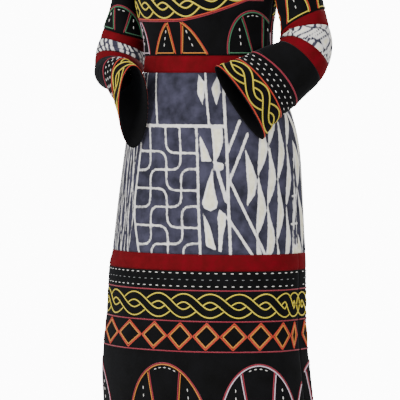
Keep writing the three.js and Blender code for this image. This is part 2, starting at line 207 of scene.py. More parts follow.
# %% The sleeve as a function of turn and place
def armhole_at(side, around):
    """The loop cut in the bodice: the angle leaves the side by the sine, the place by the cosine."""
    angle = 90 - ARMHOLE["half_angle"] * np.sin(around)
    place = ARMHOLE["middle"] + ARMHOLE["half_height"] * np.cos(around)
    return bodice_at(side * angle, place)


def section_at(table, side, around, place):
    """An ellipse about the centre: minus the cosine outwards and the sine to the front, with both
    directions leaned outwards by splay, swung forward by bend and inwards by turn."""
    part = {name: column(table, name, place) for name in table}
    splay, bend, turn = (np.radians(part[name]) for name in ("splay", "bend", "turn"))
    across = [np.cos(splay), np.sin(splay) * np.sin(bend), np.sin(splay) * np.cos(bend)]
    front = [np.zeros_like(splay), -np.cos(bend), np.sin(bend)]
    outwards, forwards = (
        (x * np.cos(turn) + y * np.sin(turn), y * np.cos(turn) - x * np.sin(turn), z)
        for x, y, z in (across, front))
    point = [part[name] - part["outer"] * np.cos(around) * outwards[axis]
             + part["front"] * np.sin(around) * forwards[axis] for axis, name in enumerate("xyz")]
    point[0] = side * point[0]
    return np.stack(point, -1)


def sleeve_at(table, side, around, place):
    """Between the places 0 and 1 the armhole's loop turns into the table's first section."""
    cap = np.clip(place, 0, 1)[..., None]
    lower = section_at(table, side, around, np.maximum(place - 1, 0))
    return armhole_at(side, around) * (1 - cap) + lower * cap


# %% [markdown]
# ## Sheets of cloth
# A sheet is two grids of points, the face and the back a wall's thickness behind it, joined by
# rims so that the mesh is closed. The UV map holds the cut cloth's own millimetres, so weave and
# motifs lie straight on the cloth and not in space.


# %% Mesh helpers
def linear(hex_colour):
    """sRGB hex to the linear colour that shaders use."""
    srgb = [int(hex_colour[i:i + 2], 16) / 255 for i in (1, 3, 5)]
    return [v / 12.92 if v <= 0.04045 else ((v + 0.055) / 1.055) ** 2.4 for v in srgb] + [1.0]


def mesh_object(name, points, faces, uv=None, resist=None, shades=None):
    """A mesh object from points in millimetres, faces of any size, and one UV pair a point."""
    mesh = bpy.data.meshes.new(name)
    mesh.from_pydata((points / 1000).tolist(), [], faces)
    if uv is not None:
        layer = mesh.uv_layers.new(name="cloth_mm")
        corners = np.empty(len(mesh.loops), np.int32)
        mesh.loops.foreach_get("vertex_index", corners)
        layer.data.foreach_set("uv", uv[corners].astype(np.float32).ravel())
    if resist is not None:
        layer = mesh.attributes.new("resist_mm", "FLOAT", "POINT")
        layer.data.foreach_set("value", resist.astype(np.float32).ravel())
    if shades is not None:
        mesh.polygons.foreach_set("material_index", np.asarray(shades, np.int32))
    mesh.polygons.foreach_set("use_smooth", np.ones(len(mesh.polygons), bool))
    mesh.update()
    piece = bpy.data.objects.new(name, mesh)
    bpy.context.scene.collection.objects.link(piece)
    return piece


def grid_faces(rows, columns, wraps, flip):
    """Quads of a closed sheet: the face layer, the back layer and the rims between them."""
    index = np.arange(2 * rows * columns).reshape(2, rows, columns)
    if wraps:
        index = np.concatenate([index, index[:, :, :1]], 2)
    face, back = index

    def quads(a, b, c, d):
        return np.stack([v.ravel() for v in (a, b, c, d)], 1)

    parts = [quads(face[:-1, :-1], face[1:, :-1], face[1:, 1:], face[:-1, 1:]),
             quads(back[:-1, :-1], back[:-1, 1:], back[1:, 1:], back[1:, :-1]),
             quads(face[0, :-1], face[0, 1:], back[0, 1:], back[0, :-1]),
             quads(face[-1, :-1], back[-1, :-1], back[-1, 1:], face[-1, 1:])]
    if not wraps:
        parts += [quads(face[:-1, 0], back[:-1, 0], back[1:, 0], face[1:, 0]),
                  quads(face[:-1, -1], face[1:, -1], back[1:, -1], back[:-1, -1])]
    quad = np.concatenate(parts)
    return (quad[:, ::-1] if flip else quad).tolist()


def unit(vectors):
    """Vectors divided by their lengths."""
    return vectors / np.maximum(np.linalg.norm(vectors, axis=-1, keepdims=True), 1e-9)


def normals_of(points, wraps):
    """Unit normals of a grid, from the differences along its rows and columns."""
    across = np.gradient(points, axis=1)
    if wraps:
        across = (np.roll(points, -1, 1) - np.roll(points, 1, 1)) / 2
    return unit(np.cross(np.gradient(points, axis=0), across))


def run_lengths(points, axis=0):
    """Distance from the first point of a path or grid, summed step by step along an axis."""
    steps = np.linalg.norm(np.diff(points, axis=axis), axis=-1)
    return np.insert(np.cumsum(steps, axis), 0, 0, axis)


def cut_size(points, wraps):
    """Width, length and area of a grid as flat cloth, in metres."""
    loop = np.concatenate([points, points[:, :1]], 1) if wraps else points
    squares = np.cross(np.diff(loop, axis=0)[:, :-1], np.diff(loop, axis=1)[:-1])
    area = np.linalg.norm(squares, axis=2).sum() / 1e6
    return run_lengths(loop, 1).max() / 1000, run_lengths(loop).max() / 1000, area


CUTS = {}


def sheet(node, slot, points, uv, wraps=False, flip=False, resist=None):
    """Lays a closed sheet in place of a CAD node, hides the node and records the sheet's cut size.
    """
    out = normals_of(points, wraps) * (-1 if flip else 1)
    both = np.stack([points, points - WALL * out])
    piece = mesh_object(f"{node}_cloth", both.reshape(-1, 3),
                        grid_faces(*points.shape[:2], wraps, flip),
                        np.stack([uv, uv]).reshape(-1, 2),
                        None if resist is None else np.stack([resist, resist]))
    piece.data.materials.append(CLOTHS[slot])
    width, length, area = cut_size(points, wraps)
    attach(piece, "root")
    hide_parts(node)
    CUTS[node] = (round(width, 3), round(length, 3), round(area, 3))


def seam_dip(distance):
    """Cloth sinks towards a seam: 1.1 mm at the seam line, gone 7 mm away."""
    return -1.1 * np.exp(-(distance / 3.2) ** 2)


# %% [markdown]
# ## Node helper and finishes
# Every finish starts from what the real one is. One small function adds a node with its settings
# and links. The rest is a few noises and waves whose scales come from real sizes.


# %% Node helper
WAVE_SCALE = 0.314      # a wave texture's scale times the length of its wave


def add(tree, kind, links=None, **settings):
    """Adds a shader node of a kind. Settings that name a socket fill it, others set the node's own
    properties; links feed sockets from other nodes' outputs."""
    node = tree.nodes.new("ShaderNode" + kind)
    for key, value in settings.items():
        socket = node.inputs.get(key.replace("_", " ").title()) or node.inputs.get(key)
        if socket is not None and not hasattr(node, key):
            socket.default_value = value
        else:
            setattr(node, key, value)
    for key, output in (links or {}).items():
        tree.links.new(output, node.inputs[key])
    return node


def new_finish(name, roughness, specular, sheen=0, sheen_roughness=0.5, sheen_tint="#FFFFFF"):
    """A finish with its principled shader's plain values set."""
    material = bpy.data.materials.new(name)
    material.use_nodes = True
    tree = material.node_tree
    shader = tree.nodes["Principled BSDF"]
    shader.inputs["Roughness"].default_value = roughness
    shader.inputs["Specular IOR Level"].default_value = specular
    shader.inputs["Sheen Weight"].default_value = sheen
    shader.inputs["Sheen Roughness"].default_value = sheen_roughness
    shader.inputs["Sheen Tint"].default_value = linear(sheen_tint)
    return material, tree, shader


def paint(tree, shader, colour, height, strength, distance):
    """Links a colour and a bump, whose height is in units of the distance, to the shader."""
    tree.links.new(colour, shader.inputs["Base Color"])
    bend = add(tree, "Bump", {"Height": height}, Strength=strength, Distance=distance)
    tree.links.new(bend.outputs["Normal"], shader.inputs["Normal"])


def mottle(tree, vector, dark, pale, size_mm, detail=3):
    """A cloudy mix of two colours with patches about size_mm wide."""
    noise = add(tree, "TexNoise", {"Vector": vector}, detail=detail, Scale=1000 / size_mm)
    ramp = add(tree, "ValToRGB", {"Fac": noise.outputs["Fac"]})
    for element, position, colour in zip(ramp.color_ramp.elements, (0.32, 0.68), (dark, pale)):
        element.position = position
        element.color = linear(colour)
    return ramp.outputs["Color"]


def weave(tree, uv, thread_mm):
    """Height of a plain weave: two crossed waves, one a thread's width long each way."""
    waves = [add(tree, "TexWave", {"Vector": uv}, bands_direction=direction,
                 Scale=WAVE_SCALE / thread_mm, Distortion=0.6).outputs["Fac"] for direction in "XY"]
    product = add(tree, "Math", {0: waves[0], 1: waves[1]}, operation="MULTIPLY")
    return product.outputs["Value"]


# %% [markdown]
# ### Black cotton velvet
# Velvet is a short cut pile. Light sinks between the fibres, so it is almost black face on, and
# the tips catch a soft grey along edges and creases. Sheen gives those tips, and a patchy nap,
# pressed by wear, breaks them up.


# %% Velvet
def velvet_finish():
    """Cloudy black with a sheen; fine noise stands for the pile."""
    material, tree, shader = new_finish("black_cotton_velvet", 0.92, 0.12, 0.14, 0.38, "#7B7E88")
    place = add(tree, "TexCoord").outputs["Object"]
    pile = add(tree, "TexNoise", {"Vector": place}, detail=2, Scale=1000 / 1.6)
    colour = mottle(tree, place, "#050505", "#0B0B0D", 45)
    paint(tree, shader, colour, pile.outputs["Fac"], 0.35, 0.0006)
    return material


CLOTHS = {"velvet": velvet_finish()}

# %% [markdown]
# ### Red cotton
# The bands are plain-woven cotton with a slightly brushed face. The threads are half a millimetre
# wide; they are drawn at 1.4 mm so that they just show.


# %% Red cotton
def red_finish():
    """Cloudy red with a weave and hardly any sheen."""
    material, tree, shader = new_finish("brushed_red_cotton", 0.82, 0.1, 0.05, 0.45, "#FF6A60")
    place = add(tree, "TexCoord").outputs["Object"]
    uv = add(tree, "UVMap", uv_map="cloth_mm").outputs["UV"]
    colour = mottle(tree, place, "#560209", "#67030F", 26)
    paint(tree, shader, colour, weave(tree, uv, 1.4), 0.3, 0.0005)
    return material


CLOTHS["red_cotton"] = red_finish()

# %% [markdown]
# ### Ndop cloth
# Ndop is coarse hand-spun cotton, stitched with raffia and dyed in indigo: where the raffia lay
# the cloth stays white, with soft, slightly ragged edges. Each point of the sheet carries its
# distance in millimetres to the nearest edge of the resisted figure, and the shader turns that
# distance into white or blue, with noise that frays the edge.


# %% Ndop cloth
def ndop_finish():
    """Indigo where the distance plus noise is small, pale above that, and yellower deep inside."""
    material, tree, shader = new_finish("indigo_resist_cotton", 0.88, 0.15)
    place = add(tree, "TexCoord").outputs["Object"]
    uv = add(tree, "UVMap", uv_map="cloth_mm").outputs["UV"]
    inside = add(tree, "Attribute", attribute_name="resist_mm").outputs["Fac"]
    fray = add(tree, "TexNoise", {"Vector": place}, detail=3, Scale=1000 / 9)
    frayed = add(tree, "Math", {0: fray.outputs["Fac"], 2: inside}, operation="MULTIPLY_ADD")
    frayed.inputs[1].default_value = 3.4
    white = add(tree, "MapRange", {"Value": frayed.outputs["Value"]}, From_Min=0.9, From_Max=2.5)
    solid = add(tree, "MapRange", {"Value": inside}, From_Min=3.5, From_Max=6)
    indigo = mottle(tree, place, "#252530", "#434254", 30, detail=5)
    line = mottle(tree, place, "#D6D4D2", "#F4F2EC", 22, detail=4)
    blot = mottle(tree, place, "#DDD7B6", "#FCF8E0", 16, detail=6)
    pale = add(tree, "Mix", {0: solid.outputs["Result"], 6: line, 7: blot}, data_type="RGBA")
    dyed = add(tree, "Mix", {0: white.outputs["Result"], 6: indigo, 7: pale.outputs[2]},
               data_type="RGBA")
    paint(tree, shader, dyed.outputs[2], weave(tree, uv, 2.0), 0.4, 0.0008)
    return material


CLOTHS["ndop_cloth"] = ndop_finish()

# %% [markdown]
# ### Embroidery yarn
# The figures are worked in chain stitch with soft acrylic yarn. Each loop catches light on its
# crown and is dark where it dips into the next: the height follows the length of the line, one loop
# every 4.8 mm, and the colour is darkened in the dips as painted shade.

# %% Yarn
YARNS = {"crimson": "#981D34", "orange_red": "#C8381A", "orange": "#D2832A", "yellow": "#E4CF36",
         "lilac": "#E4CAD8", "green": "#3F7F58", "white": "#EFEDE8", "grey": "#8D8F90"}


def yarn_finish(name, hex_colour):
    """The yarn's colour times a wave along the line, painted shade in the dips between loops; the
    same wave lifts each loop's crown.
    """
    material, tree, shader = new_finish(f"chain_stitch_yarn_{name}", 0.6, 0.3, sheen=0.15)
    uv = add(tree, "UVMap", uv_map="cloth_mm").outputs["UV"]
    loops = add(tree, "TexWave", {"Vector": uv}, bands_direction="X",
                Scale=WAVE_SCALE / (2 * STITCH_STEP), Distortion=1.2).outputs["Fac"]
    # painted shade: the colour falls to 0.62 of the yarn's where the loops dip
    shade = add(tree, "MapRange", {"Value": loops}, To_Min=0.62)
    tint = add(tree, "HueSaturation", {"Value": shade.outputs["Result"]})
    tint.inputs["Color"].default_value = linear(hex_colour)
    paint(tree, shader, tint.outputs["Color"], loops, 0.6, 0.001)
    return material


YARN = {name: yarn_finish(name, colour) for name, colour in YARNS.items()}
print("finishes:", [m.name for m in bpy.data.materials])

# %% [markdown]
# ## Camera, light and floor
# A long lens keeps the dress free of distortion, from a little to the wearer's left of the front.

# %% Camera
def placed(name, data, place, aim):
    """A camera or light at a place in metres, turned towards its aim."""
    thing = bpy.data.objects.new(name, data)
    thing.location = place
    thing.rotation_euler = (Vector(aim) - Vector(place)).to_track_quat("-Z", "Y").to_euler()
    bpy.context.scene.collection.objects.link(thing)
    return thing


CAMERA_AZIMUTH, CAMERA_DISTANCE, EYE_HEIGHT = np.radians(30), 7500, -425
AIM = np.array([-20 * np.cos(CAMERA_AZIMUTH), -20 * np.sin(CAMERA_AZIMUTH), -750])
FRAME_MM = 1000        # height of the frame at the dress
eye = AIM + CAMERA_DISTANCE * np.array([np.sin(CAMERA_AZIMUTH), -np.cos(CAMERA_AZIMUTH), 0])
eye[2] = EYE_HEIGHT
camera_data = bpy.data.cameras.new("camera")
camera_data.sensor_width = 36
camera_data.lens = 36 * np.linalg.norm(eye - AIM) / FRAME_MM
camera_data.clip_end = 100
bpy.context.scene.camera = placed("camera", camera_data, eye / 1000, AIM / 1000)


# %% Light and floor
# Name, place and aim in metres, width in metres, watts.
LIGHTS = [("key", (-1.8, -4.2, 1.6), (0, 0, -0.6), 2.4, 228),
          ("fill", (3.4, -3.2, 0.2), (0, 0, -0.7), 2.6, 130),
          ("back", (0.5, 3.6, 1.8), (0, 0, -0.5), 2.4, 130)]
for name, place, aim, size, power in LIGHTS:
    light = bpy.data.lights.new(name, "AREA")
    light.shape, light.size, light.energy = "DISK", size, power
    placed(name, light, place, aim)
world = bpy.data.worlds.new("studio")
bpy.context.scene.world = world
world.use_nodes = True
sky = world.node_tree
seen = add(sky, "LightPath")
brightness = add(sky, "MapRange", {"Value": seen.outputs["Is Camera Ray"]}, To_Min=0.56, To_Max=12)
background = sky.nodes["Background"]
background.inputs["Color"].default_value = (1, 1, 1, 1)
sky.links.new(brightness.outputs["Result"], background.inputs["Strength"])

FLOOR_Z, FLOOR_HALF = -1450, 1100
corners = np.array([(-1, -1, 0), (1, -1, 0), (1, 1, 0), (-1, 1, 0)], float) * FLOOR_HALF
floor = mesh_object("floor", corners + (0, 0, FLOOR_Z), [(0, 1, 2, 3)])
floor_finish, _, floor_shader = new_finish("pale_studio_paper", 0.9, 0.2)
floor_shader.inputs["Base Color"].default_value = linear("#E9E8E6")
floor.data.materials.append(floor_finish)

# %% [markdown]
# ## The ndop figures
# Ndop figures are lines and solid shapes in blocks: a lattice of rounded steps, hourglasses,
# zigzags and strings of long lozenges. Each is a distance in millimetres, positive inside the
# figure, and the largest of them wins.


# %% Distances to lines and shapes
def line_distance(s, z, path, half_width):
    """Half the line's width less the distance to the nearest stretch of a path."""
    best = np.full(s.shape, -1e3)
    path = np.asarray(path, float)
    for (ax, ay), (bx, by) in zip(path[:-1], path[1:]):
        dx, dy = bx - ax, by - ay
        t = np.clip(((s - ax) * dx + (z - ay) * dy) / (dx * dx + dy * dy), 0, 1)
        gap = np.hypot(s - ax - t * dx, z - ay - t * dy)
        best = np.maximum(best, half_width - gap)
    return best


def shape_distance(s, z, outline):
    """Distance to a closed outline, positive inside it, counted by its crossings."""
    outline = np.asarray(outline, float)
    edge = -line_distance(s, z, np.vstack([outline, outline[:1]]), 0)
    inside = np.zeros(s.shape, bool)
    for (ax, ay), (bx, by) in zip(outline, np.roll(outline, -1, 0)):
        if ay != by:
            crosses = ((ay > z) != (by > z)) & (s < (bx - ax) * (z - ay) / (by - ay) + ax)
            inside ^= crosses
    return np.where(inside, edge, -edge)


def rounded(path, radius, steps=5):
    """A path of straight stretches with each corner replaced by a quadratic curve."""
    path = np.asarray(path, float)
    points = [path[0]]
    t = np.linspace(0, 1, steps)[:, None]
    for before, corner, after in zip(path[:-2], path[1:-1], path[2:]):
        start = corner + radius * unit(before - corner)
        end = corner + radius * unit(after - corner)
        points.extend((1 - t) ** 2 * start + 2 * t * (1 - t) * corner + t * t * end)
    points.append(path[-1])
    return np.array(points)


# %% Blocks of figures, measured in mm to the right of a block's own edge line
def block(r, z, outlines, lines):
    """The largest of the distances to closed outlines and to lines, given as (half-width,
    paths)."""
    parts = [shape_distance(r, z, outline) for outline in outlines]
    parts += [line_distance(r, z, path, half) for half, paths in lines for path in paths]
    return np.max(parts, 0)


LATTICE_EDGE = np.array([(-190, -400), (-172, -600), (-196, -740), (-198, -790), (-178, -890.0)])
LATTICE_PITCH = 91


def lattice(r, z):
    """Two families of rounded steps to the left of r = 0: one falls to the right in two bends,
    the other falls to the left in four, and both repeat every LATTICE_PITCH."""
    paths = []
    for k in range(-3, 5):
        fall = -534 - LATTICE_PITCH * k
        back = -485 - LATTICE_PITCH * k
        paths.append(rounded([(-210, fall), (-87, fall), (-87, fall - 94), (0, fall - 94)], 26))
        paths.append(rounded([(0, back), (-45, back), (-45, back - 93), (-138, back - 93),
                              (-138, back - 187), (-210, back - 187)], 26))
    edge = np.interp(-z, -LATTICE_EDGE[:, 1], LATTICE_EDGE[:, 0])
    best = np.minimum(block(r, z, [], [(2.6, paths)]), np.minimum(r - edge, -r) + 3)
    return np.maximum(best, block(r, z, [], [(3.1, [LATTICE_EDGE, [(0, -400), (0, -900)]])]))


# Solid shapes of the hourglass column: mm to the right of its edge line, and height.
HOURGLASSES = [
    [(7, -580), (10, -648), (36, -648), (22, -612)],
    [(38, -564), (66, -564), (66, -600), (55, -632), (46, -650), (41, -648), (40, -600)],
    [(43, -650), (66, -652), (64, -668), (50, -672)],
    [(41, -656), (24, -700), (9, -750), (14, -762), (29, -769), (44, -762), (48, -748),
     (42, -722), (38, -690)],
    [(11, -772), (16, -855), (40, -864), (26, -806)],
    [(52, -765), (46, -785), (48, -804), (46, -868), (53, -868), (58, -828), (66, -800),
     (67, -776)],
    [(12, -436), (30, -460), (20, -512), (8, -480)],
    [(60, -436), (66, -478), (54, -512), (44, -470)],
]
# No zigzag fills the top of the column, from z -432 to -549: the cloth is left plain indigo there, a
# painted shadow of the cuff. The back panel shares these zigzags and is plain there too.
ZIGZAGS = [[(110, -549), (76, -626)], [(127, -581), (79, -694), (163, -880)],
           [(72, -785), (134, -885)]]
ZIGZAG_LEAF = [(119, -617), (133, -650), (147, -694), (139, -730), (118, -760), (124, -722),
               (121, -680)]
# Outline of half a lozenge: share of its width and mm across, and share of its length down.
HALF_LOZENGE = [(0, 1, 0), (0.35, 0, 0.2), (0.8, 0, 0.42), (1, 0, 0.58), (0.7, 0, 0.78),
                (0, 2.5, 1), (0, -1, 1), (0, -1, 0.8), (0, 2, 0.4), (0, -1, 0)]


def hourglasses(r, z):
    """Tall triangles and waisted shapes between two lines 74 mm apart, with a slanting bar."""
    return block(r, z, HOURGLASSES, [(4.2, [[(44, -650), (58, -700), (70, -745)]]),
                                     (3.3, [[(74, -400), (75, -900)]])])


def zigzags(r, z):
    """Bars that meet in points at the column's edge line, with one half lozenge."""
    return block(r, z, [ZIGZAG_LEAF], [(3.2, ZIGZAGS)])


def lozenge_string(r, z, start, waist, width):
    """Half lozenges 148 mm long, tip to tip: nearly straight on the left, swelling on the right."""
    tops = waist + 148 * np.arange(2, -3, -1)
    return block(r, z, [[(start + across * width + shift, top - 148 * down)
                         for across, shift, down in HALF_LOZENGE] for top in tops], [])


def streaks(r, z, start, end, count):
    """Thin lines from top to bottom that lean to and fro and nearly meet."""
    best = []
    for i, rest in enumerate(np.linspace(start, end, count)):
        lean = 9 * np.sin(2.4 * i + 1)
        path = [(rest + share * lean, height) for share, height in
                ((-1, -430), (1, -560), (-0.8, -690), (0.7, -790), (-0.9, -885))]
        best.append(line_distance(r, z, path, 1.6 + 0.7 * (i % 2)))
    return np.max(best, 0)


LEAN = 0.1       # the cloth's own lines lean this far towards +s going down
# Height of a waist of each front string, and how far its lozenges swell.
LOZENGE_STRINGS = [(-680, 24), (-606, 22), (-691, 20), (-608, 17), (-668, 11)]


def ndop_front(s, z):
    """The front panel's blocks, from the wearer's right to left. Above a level bar, upright rails
    take the place of the lattice."""
    r = s - 48 - LEAN * (-565 - z)
    rails = [[(x, -400), (x + 6, -562)] for x in (-160, -118, 28)]
    rails += [[(x, -560), (x, -620)] for x in (-138, -87, -45, 0)]
    top = block(r, z, [], [(2.5, rails), (3.6, [[(-190, -562), (72, -562)]])])
    parts = [streaks(s, z, -345, -140, 17), hourglasses(r, z), zigzags(r, z),
             np.where((z > -603) & (r > -172), top, lattice(r, z))]
    upright = r + 0.056 * (-700 - z)
    for k, (waist, width) in enumerate(LOZENGE_STRINGS):
        parts.append(lozenge_string(upright, z, 148 + 27 * k, waist, width))
    bars = [[(314, at), (346, at + 3)] for at in (-470, -520, -607, -644, -735, -803)]
    threads = [[(x, -744), (x + 4, -868)] for x in (318, 333)]
    foot = [(322, -858), (350, -850), (352, -880), (322, -880)]
    parts.append(block(s, z, [foot], [(2.6, bars), (1.3, threads)]))
    return np.max(parts, 0)


def ndop_back(s, z):
    """The back panel: the same blocks in another order."""
    r = s + 0.4 * LEAN * (-565 - z)
    parts = [lattice(r + 22, z), hourglasses(r + 22, z), zigzags(r + 22, z), lattice(r - 318, z),
             streaks(r, z, 322, 352, 4)]
    for k, waist in enumerate((-640, -566, -651, -575)):
        parts.append(lozenge_string(r, z, -345 + 29 * k, waist, 26))
    return np.max(parts, 0)


# %% [markdown]
# ## Body sheets
# Front and back panels meet at the side seams. Each sheet's face runs exactly to the seam and dips
# a millimetre there, so the seams read as lines. The flat widths are measured along each ring.


# %% Sheets of the body
def arc_lengths(points):
    """Distance along each row of a grid, counted from its middle column."""
    along = run_lengths(points, 1)
    centre = points.shape[1] // 2
    return along - along[:, centre:centre + 1]


def body_reach(place):
    """Degrees from the centre line to the panel's edge: 90, less where the armhole is cut."""
    rise = (place - ARMHOLE["middle"]) / ARMHOLE["half_height"]
    return 90 - ARMHOLE["half_angle"] * np.sqrt(np.clip(1 - rise * rise, 0, 1))


def tier_sheet(node, slot, middle, top, bottom, figures):
    """Half of a tier of the skirt, dipping at its seams and faintly rippled. The hem is free."""
    columns = 2 * int(SKIRT_HALF / CLOTH_STEP) + 1
    heights = np.linspace(top, bottom, max(4, int((top - bottom) / CLOTH_STEP)))[:, None]
    grid = skirt_at(middle + np.linspace(-90, 90, columns), heights)
    s = arc_lengths(grid)
    edge = s[:, -1:] - np.abs(s)
    across = top - heights if bottom == HEM else np.minimum(top - heights, heights - bottom)
    ripple = 0.5 * np.sin(s / 23 + 0.7 * np.sin(heights / 60)) * smooth(across, 0, 40)
    dip = seam_dip(edge) + seam_dip(across) + ripple
    points = grid + normals_of(grid, False) * dip[..., None]
    resist = figures(s, grid[..., 2]) if slot == "ndop_cloth" else None
    sheet(node, slot, points, np.stack([s, grid[..., 2]], -1), resist=resist)


TIERS = [("waist_band", "red_cotton", WAIST_TOP, WAIST_BOTTOM),
         ("skirt", "ndop_cloth", WAIST_BOTTOM, SKIRT_BOTTOM),
         ("lower_band", "red_cotton", SKIRT_BOTTOM, BAND_BOTTOM),
         ("hem_border", "velvet", BAND_BOTTOM, HEM)]
for half, middle, figures in (("front", 0, ndop_front), ("back", 180, ndop_back)):
    for name, slot, top, bottom in TIERS:
        tier_sheet(f"{name}_{half}", slot, middle, top, bottom, figures)


def bodice_sheet(half, middle):
    """Half of the bodice, cut in at the armholes, where it is sewn flush."""
    columns = 2 * int(BODICE_HALF / CLOTH_STEP) + 1
    last = len(NECK_TO_WAIST["side"]) - 1
    loop = ARMHOLE["middle"] - ARMHOLE["half_height"] * np.cos(np.linspace(0, np.pi, 49))
    places = np.concatenate([np.linspace(0, loop[0], 17)[:-1], loop,
                             np.linspace(loop[-1], last, 43)[1:]])
    reach = body_reach(places)[:, None]      # 90 except at the armholes
    grid = bodice_at(middle + np.linspace(-1, 1, columns) * reach, places[:, None])
    s = arc_lengths(grid)
    dip = seam_dip(s[:, -1:] - np.abs(s)) * (reach > 89.9) + seam_dip((last - places[:, None]) * 60)
    points = grid + normals_of(grid, False) * dip[..., None]
    sheet(f"bodice_{half}", "velvet", points, np.stack([s, grid[..., 2]], -1))


bodice_sheet("front", 0)
bodice_sheet("back", 180)

# %% [markdown]
# ## Sleeve sheets
# Each sleeve is five tubes sewn end to end, and the lowest is drawn as two, the lower sleeve and
# its cuff. The elbow panel is a short length of the same ndop cloth. Creases gather inside the
# elbow, where the cloth has nowhere to go.

# %% Sheets of the sleeves
SLEEVES = {"left": (LEFT_SLEEVE, 1), "right": (RIGHT_SLEEVE, -1)}
MOUTH = 17            # the sleeve's last place
# Each piece with its first and last place, and the seams, which dip. The armhole and the join
# at 13 stay flush.
SLEEVE_PIECES = [("upper_sleeve", "velvet", 0, 6), ("sleeve_band_upper", "red_cotton", 6, 7),
                 ("sleeve_ndop", "ndop_cloth", 7, 9), ("sleeve_band_lower", "red_cotton", 9, 10),
                 ("lower_sleeve", "velvet", 10, 13), ("cuff", "velvet", 13, MOUTH)]
SEWN = (6, 7, 9, 10)
# Troughs of a sleeve: turn and place of the middle, half-sizes of each, depth in mm.
SLEEVE_CREASES = rows_of("turn place half_turn half_place depth", [
    (70, 7.2, 46, 0.34, -5), (82, 8.1, 50, 0.3, -6), (76, 9.0, 48, 0.32, -5),
    (40, 5.4, 40, 0.5, -3), (120, 4.2, 34, 0.6, -2.5), (300, 6.2, 50, 0.5, -3),
    (250, 11.3, 22, 2.2, -3), (60, 12.4, 20, 2.0, -3), (140, 11.6, 16, 1.8, -2)])


def sleeve_crease(around, place):
    """Sum of the troughs, each a bell round the sleeve times a bell along it."""
    out = 0
    for turn, at, half_turn, half_place, depth in zip(*SLEEVE_CREASES.values()):
        bell = bump(turned(np.degrees(around), turn), half_turn)
        out = out + depth * bell * bump(place - at, half_place)
    return out


def hung(around, place):
    """The left elbow's seams hang lower, most at the front and inside: a seam's place moves down
    the arm by a constant and a cosine, faded out above the elbow and at the lower red band."""
    lean = 0.4 + 0.4 * np.cos(around - np.pi / 4)
    return place + lean * smooth(place, 4.2, 6) * smooth(9 - place, 0, 2)


def creased_sleeve(side_name, around, place):
    """The sleeve's surface, moved in along the way to its section's centre by the creases."""
    table, side = SLEEVES[side_name]
    around, place = np.broadcast_arrays(around, place)
    if side_name == "left":
        place = hung(around, place)
    point = sleeve_at(table, side, around, place)
    outwards = unit(point - sleeve_at(table, side, around + np.pi, place))
    fade = smooth(place, 0.6, 1.6) * smooth(MOUTH - place, 0, 1)
    return point + outwards * (sleeve_crease(around, place) * fade)[..., None]


# Spacing of the elbow's blue threads and their half-width, mm.
ELBOW_NDOP = {"left": (23, 3.6), "right": (17, 4.0)}


def elbow_ndop(s, along, pitch, blue):
    """White cloth crossed by two families of wavy blue threads, the second half as wide."""
    steep = s + 0.5 * along + 7 * np.sin(along / 13 + s / 40) + 4 * np.sin(s / 9)
    flat = 0.6 * s - 1.1 * along + 8 * np.sin(s / 17)
    gaps = [np.abs(line % (k * pitch) - k * pitch / 2) for k, line in ((1, steep), (1.5, flat))]
    return np.minimum(gaps[0] - blue, gaps[1] - 0.6 * blue)


def sleeve_sheet(side_name, name, slot, start, end):
    """A tube of the sleeve between two places, dipping at the ends that are sewn with a seam."""
    side = SLEEVES[side_name][1]
    around = np.linspace(0, 2 * np.pi, SLEEVE_POINTS + 1)[:-1]
    places = np.linspace(start, end, max(7, int((end - start) * 7)))
    grid = creased_sleeve(side_name, around, places[:, None])
    along = run_lengths(grid)
    ring = np.linalg.norm(np.roll(grid, -1, 1) - grid, axis=2).sum(1, keepdims=True)
    s = ring * around / (2 * np.pi)
    dip = (start in SEWN) * seam_dip(along) + (end in SEWN) * seam_dip(along[-1:] - along)
    points = grid + normals_of(grid, True) * side * dip[..., None]
    resist = elbow_ndop(s, along, *ELBOW_NDOP[side_name]) if slot == "ndop_cloth" else None
    sheet(f"{name}_{side_name}", slot, points, np.stack([s, -along], -1), wraps=True,
          flip=side < 0, resist=resist)


for side_name in SLEEVES:
    for piece in SLEEVE_PIECES:
        sleeve_sheet(side_name, *piece)
print("cuts, m:", CUTS)

# %% [markdown]
# ## Charts
# Embroidery is planned on paper, flat, and then lies on the curved cloth. A chart does the same:
# it turns flat millimetres, along the ring and up the panel, into points and normals of the
# surface. It is read from a table of lengths measured along the surface.


# %% Charts
def ruled(lengths, marks):
    """For each row of growing lengths, the marks at every 2 mm of length."""
    ruler = np.arange(lengths.min(), lengths.max(), 2.0)
    return ruler, np.array([np.interp(ruler, row, marks) for row in lengths])


def look_up(table, row_axis, column_axis, row, across):
    """Value between four neighbours of a table, weighted by how near each is."""
    r, c = (np.clip((at - axis[0]) / (axis[1] - axis[0]), 0, len(axis) - 1.001)
            for axis, at in ((row_axis, row), (column_axis, across)))
    i, j = r.astype(int), c.astype(int)
    u, v = r - i, c - j
    return ((1 - u) * (1 - v) * table[i, j] + (1 - u) * v * table[i, j + 1]
            + u * (1 - v) * table[i + 1, j] + u * v * table[i + 1, j + 1])


def facing(surface, a, b, step_a, step_b, side):
    """Points of a surface and their outward normals, from two short steps."""
    across = surface(a + step_a, b) - surface(a - step_a, b)
    down = surface(a, b + step_b) - surface(a, b - step_b)
    return surface(a, b), unit(np.cross(down, across) * side)


